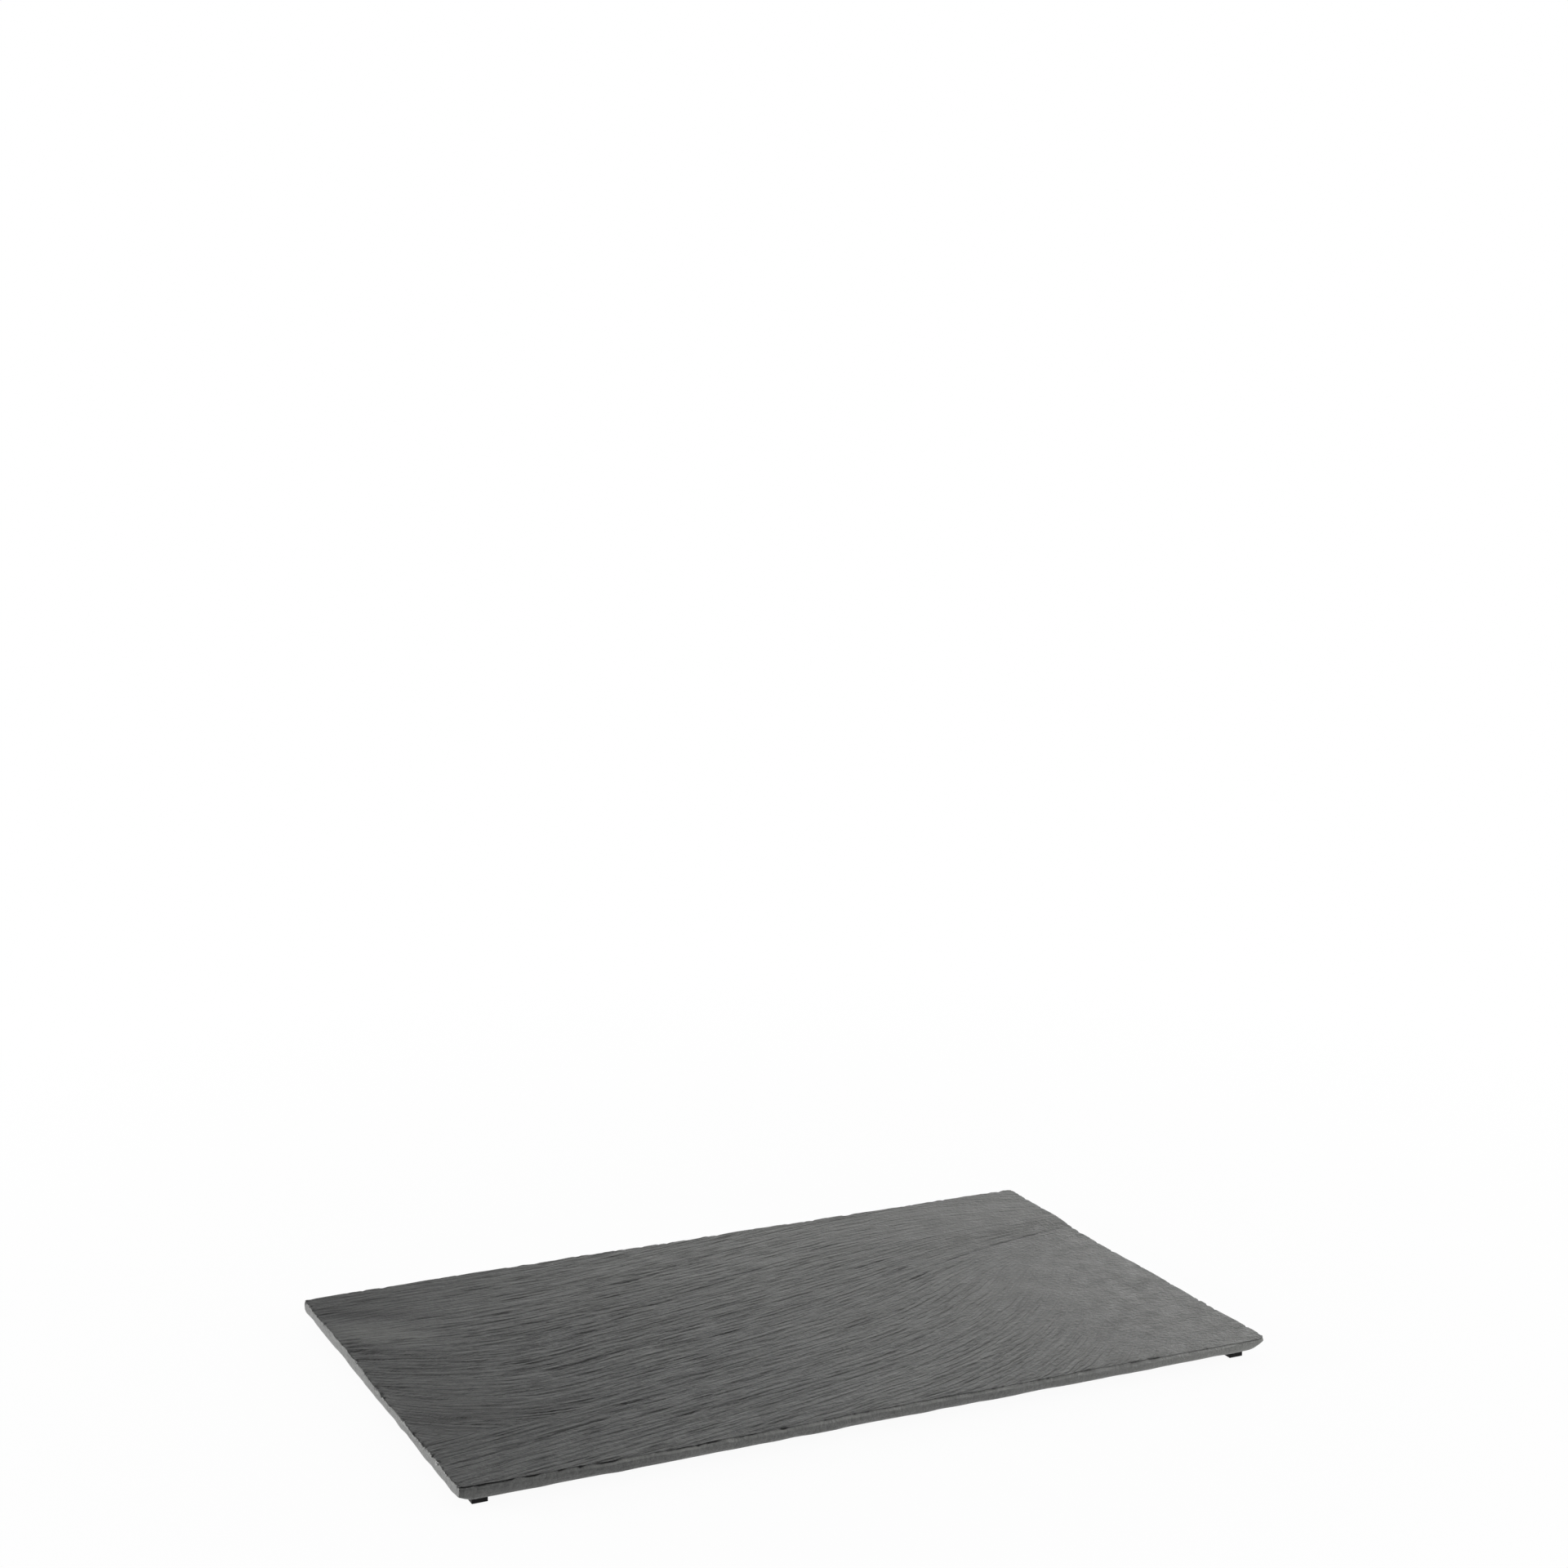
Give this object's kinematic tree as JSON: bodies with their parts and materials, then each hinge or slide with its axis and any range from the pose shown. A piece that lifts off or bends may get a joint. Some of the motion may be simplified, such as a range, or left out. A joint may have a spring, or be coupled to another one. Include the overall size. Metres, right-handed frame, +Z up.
{
  "type": "slate serving board",
  "caption": "Flat rectangular slate serving board with a riven face, rounded dressed edges and square rubber feet at the corners.",
  "frame": {"origin": "on the table plane, under the centre of the board", "axes": "+X to the right along the long front edge, +Y to the rear, +Z up out of the riven face"},
  "size_m": [0.53, 0.325, 0.0171],
  "materials": {
    "slate": "riven, matt to faintly silky, unsealed",
    "foot_rubber": "moulded, matt",
    "adhesive_foam": "die-cut double-coated foam, matt"
  },
  "bodies": {
    "root": {"slate_board": "slate", "foot_front_left": "foot_rubber", "foot_front_right": "foot_rubber", "foot_rear_left": "foot_rubber", "foot_rear_right": "foot_rubber", "adhesive_front_left": "adhesive_foam", "adhesive_front_right": "adhesive_foam", "adhesive_rear_left": "adhesive_foam", "adhesive_rear_right": "adhesive_foam"}
  },
  "joints": []
}
